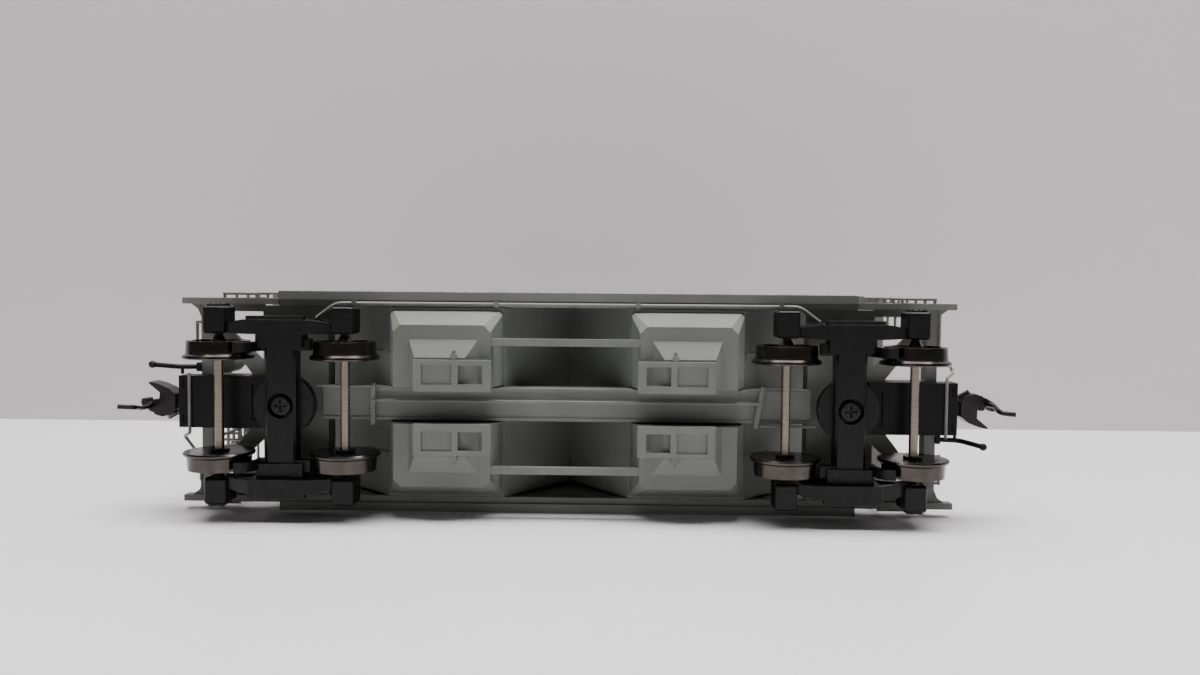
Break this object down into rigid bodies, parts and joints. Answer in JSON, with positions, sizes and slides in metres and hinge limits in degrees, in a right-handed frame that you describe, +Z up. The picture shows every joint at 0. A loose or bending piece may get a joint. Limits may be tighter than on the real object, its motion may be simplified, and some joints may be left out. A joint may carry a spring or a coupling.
{
  "type": "ho scale covered hopper car",
  "caption": "Scale model two-bay covered hopper rail car with swivelling trucks, turning wheelsets, knuckle couplers and a hand brake.",
  "frame": {"origin": "midway along and across the car, level with the lowest points of the wheel flanges", "axes": "+X along the car towards the A end, +Y across it, +Z up; the B (hand brake) end is at -X"},
  "size_m": [0.1368, 0.0356, 0.0513],
  "materials": {
    "body_grey": "satin light grey paint on moulded plastic",
    "grey_etched": "satin light grey paint on thin sheet",
    "grey_wire": "satin grey paint on wire",
    "black_plastic": "satin black moulded plastic",
    "black_metal": "satin black on cast metal",
    "black_wire": "blackened steel wire",
    "black_screw": "blackened steel",
    "black_rubber": "satin black soft plastic",
    "axle_nickel": "drawn nickel silver",
    "wheel_nickel": "polished darkened nickel plate",
    "spring_bronze": "drawn phosphor bronze",
    "raw_steel": "sheared steel plate"
  },
  "bodies": {
    "car_body": {"air_hoses": "black_rubber", "air_reservoir": "body_grey", "bay_tie_bars": "body_grey", "body_bolsters": "body_grey", "body_shell": "body_grey", "brake_cylinder": "body_grey", "brake_housing": "body_grey", "brake_platform": "grey_etched", "brake_rigging": "body_grey", "centre_sill": "body_grey", "control_valve": "body_grey", "crosswalks": "grey_etched", "cut_levers": "grey_wire", "draft_box_a": "black_plastic", "draft_box_b": "black_plastic", "draft_lids": "black_plastic", "end_frame_a": "body_grey", "end_frame_b": "body_grey", "end_ladders": "body_grey", "grab_irons": "body_grey", "hatch_covers": "body_grey", "hopper_bottom": "body_grey", "outlet_gate_1": "body_grey", "outlet_gate_2": "body_grey", "outlet_gate_3": "body_grey", "outlet_gate_4": "body_grey", "running_boards": "grey_etched", "side_ladders": "body_grey", "side_sills": "body_grey", "steel_weight": "raw_steel", "train_line": "body_grey", "train_line_clips": "body_grey", "truck_screws": "black_screw"},
    "brake_wheel": {"brake_wheel": "body_grey"},
    "truck_a": {"truck_bolster_a": "black_plastic", "sideframes_a": "black_plastic"},
    "coupler_a": {"coupler_head_a": "black_metal", "knuckle_spring_a": "black_wire", "centring_spring_a": "spring_bronze"},
    "knuckle_a": {"knuckle_a": "black_metal", "trip_pin_a": "black_wire"},
    "wheelset_a_outer": {"axle_a_outer": "axle_nickel", "wheels_a_outer": "wheel_nickel", "bush_a_outer": "black_plastic"},
    "wheelset_a_inner": {"axle_a_inner": "axle_nickel", "wheels_a_inner": "wheel_nickel", "bush_a_inner": "black_plastic"},
    "truck_b": {"truck_bolster_b": "black_plastic", "sideframes_b": "black_plastic"},
    "coupler_b": {"coupler_head_b": "black_metal", "knuckle_spring_b": "black_wire", "centring_spring_b": "spring_bronze"},
    "knuckle_b": {"knuckle_b": "black_metal", "trip_pin_b": "black_wire"},
    "wheelset_b_outer": {"axle_b_outer": "axle_nickel", "wheels_b_outer": "wheel_nickel", "bush_b_outer": "black_plastic"},
    "wheelset_b_inner": {"axle_b_inner": "axle_nickel", "wheels_b_inner": "wheel_nickel", "bush_b_inner": "black_plastic"}
  },
  "joints": [
    {"name": "brake_wheel_turn", "type": "hinge", "parent": "car_body", "child": "brake_wheel", "pos_m": [-0.0608, 0.0067, 0.034], "axis": [1, 0, 0], "continuous": true},
    {"name": "truck_swivel_a", "type": "hinge", "parent": "car_body", "child": "truck_a", "pos_m": [0.04415, 0, 0.0076], "axis": [0, 0, 1], "range_deg": [-8, 8]},
    {"name": "axle_turn_a_outer", "type": "hinge", "parent": "truck_a", "child": "wheelset_a_outer", "pos_m": [0.05405, 0, 0.00543], "axis": [0, 1, 0], "continuous": true},
    {"name": "axle_turn_a_inner", "type": "hinge", "parent": "truck_a", "child": "wheelset_a_inner", "pos_m": [0.03425, 0, 0.00543], "axis": [0, 1, 0], "continuous": true},
    {"name": "coupler_swing_a", "type": "hinge", "parent": "car_body", "child": "coupler_a", "pos_m": [0.0542, 0, 0.0105], "axis": [0, 0, 1], "range_deg": [-9, 9], "stiffness_Nm_per_rad": 0.0005, "deforming": ["centring_spring_a"]},
    {"name": "knuckle_turn_a", "type": "hinge", "parent": "coupler_a", "child": "knuckle_a", "pos_m": [0.0652, -0.00135, 0.0105], "axis": [0, 0, -1], "range_deg": [0, 35], "stiffness_Nm_per_rad": 0.0003, "springref_deg": -8.59, "deforming": ["knuckle_spring_a"]},
    {"name": "truck_swivel_b", "type": "hinge", "parent": "car_body", "child": "truck_b", "pos_m": [-0.04415, 0, 0.0076], "axis": [0, 0, 1], "range_deg": [-8, 8]},
    {"name": "axle_turn_b_outer", "type": "hinge", "parent": "truck_b", "child": "wheelset_b_outer", "pos_m": [-0.05405, 0, 0.00543], "axis": [0, 1, 0], "continuous": true},
    {"name": "axle_turn_b_inner", "type": "hinge", "parent": "truck_b", "child": "wheelset_b_inner", "pos_m": [-0.03425, 0, 0.00543], "axis": [0, 1, 0], "continuous": true},
    {"name": "coupler_swing_b", "type": "hinge", "parent": "car_body", "child": "coupler_b", "pos_m": [-0.0542, 0, 0.0105], "axis": [0, 0, 1], "range_deg": [-9, 9], "stiffness_Nm_per_rad": 0.0005, "deforming": ["centring_spring_b"]},
    {"name": "knuckle_turn_b", "type": "hinge", "parent": "coupler_b", "child": "knuckle_b", "pos_m": [-0.0652, 0.00135, 0.0105], "axis": [0, 0, -1], "range_deg": [0, 35], "stiffness_Nm_per_rad": 0.0003, "springref_deg": -8.59, "deforming": ["knuckle_spring_b"]}
  ]
}
